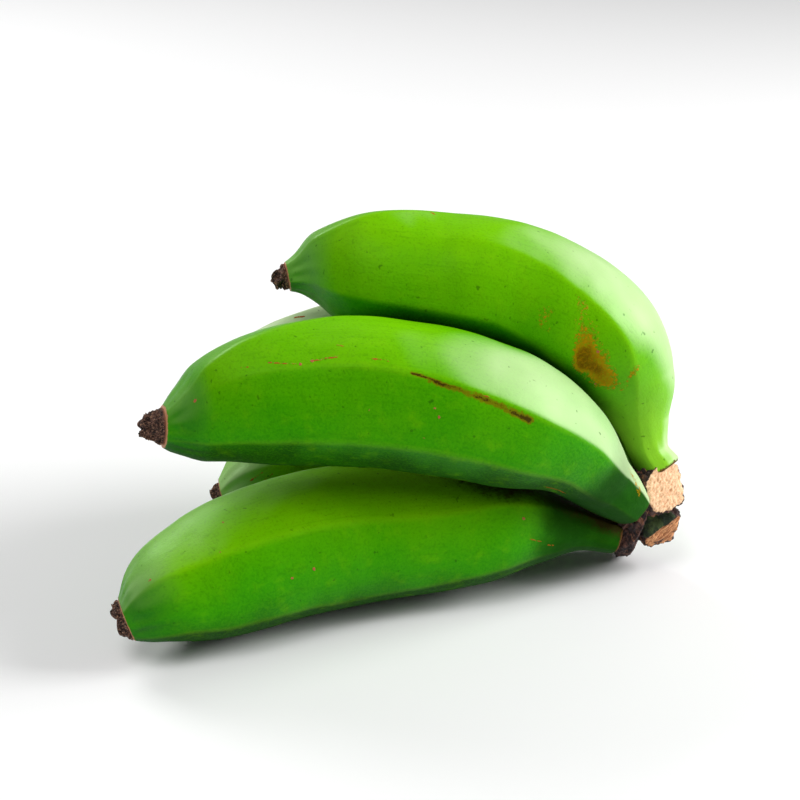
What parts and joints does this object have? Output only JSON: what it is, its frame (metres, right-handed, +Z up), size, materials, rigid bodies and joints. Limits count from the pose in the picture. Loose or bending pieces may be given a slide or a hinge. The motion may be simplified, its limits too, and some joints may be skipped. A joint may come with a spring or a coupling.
{
  "type": "hand of green bananas",
  "caption": "Small hand of plump green cooking bananas joined at a cut crown, lying on its side, with dried blossom ends.",
  "frame": {"origin": "on the surface the hand lies on, under the middle of its bounding box", "axes": "+Z up; +X along the fingers from the blossom ends towards the crown; -Y is the side of the front row of fingers"},
  "size_m": [0.1664, 0.1228, 0.11],
  "materials": {
    "green_skin": "waxy satin peel",
    "dried_blossom": "dry, rough",
    "cut_crown": "cut fibre and dark bark, matte"
  },
  "bodies": {
    "root": {"finger_top": "green_skin", "finger_middle": "green_skin", "finger_bottom": "green_skin", "finger_rear_upper": "green_skin", "finger_rear_lower": "green_skin", "blossom_top": "dried_blossom", "blossom_middle": "dried_blossom", "blossom_bottom": "dried_blossom", "blossom_rear_upper": "dried_blossom", "blossom_rear_lower": "dried_blossom", "crown": "cut_crown"}
  },
  "joints": []
}
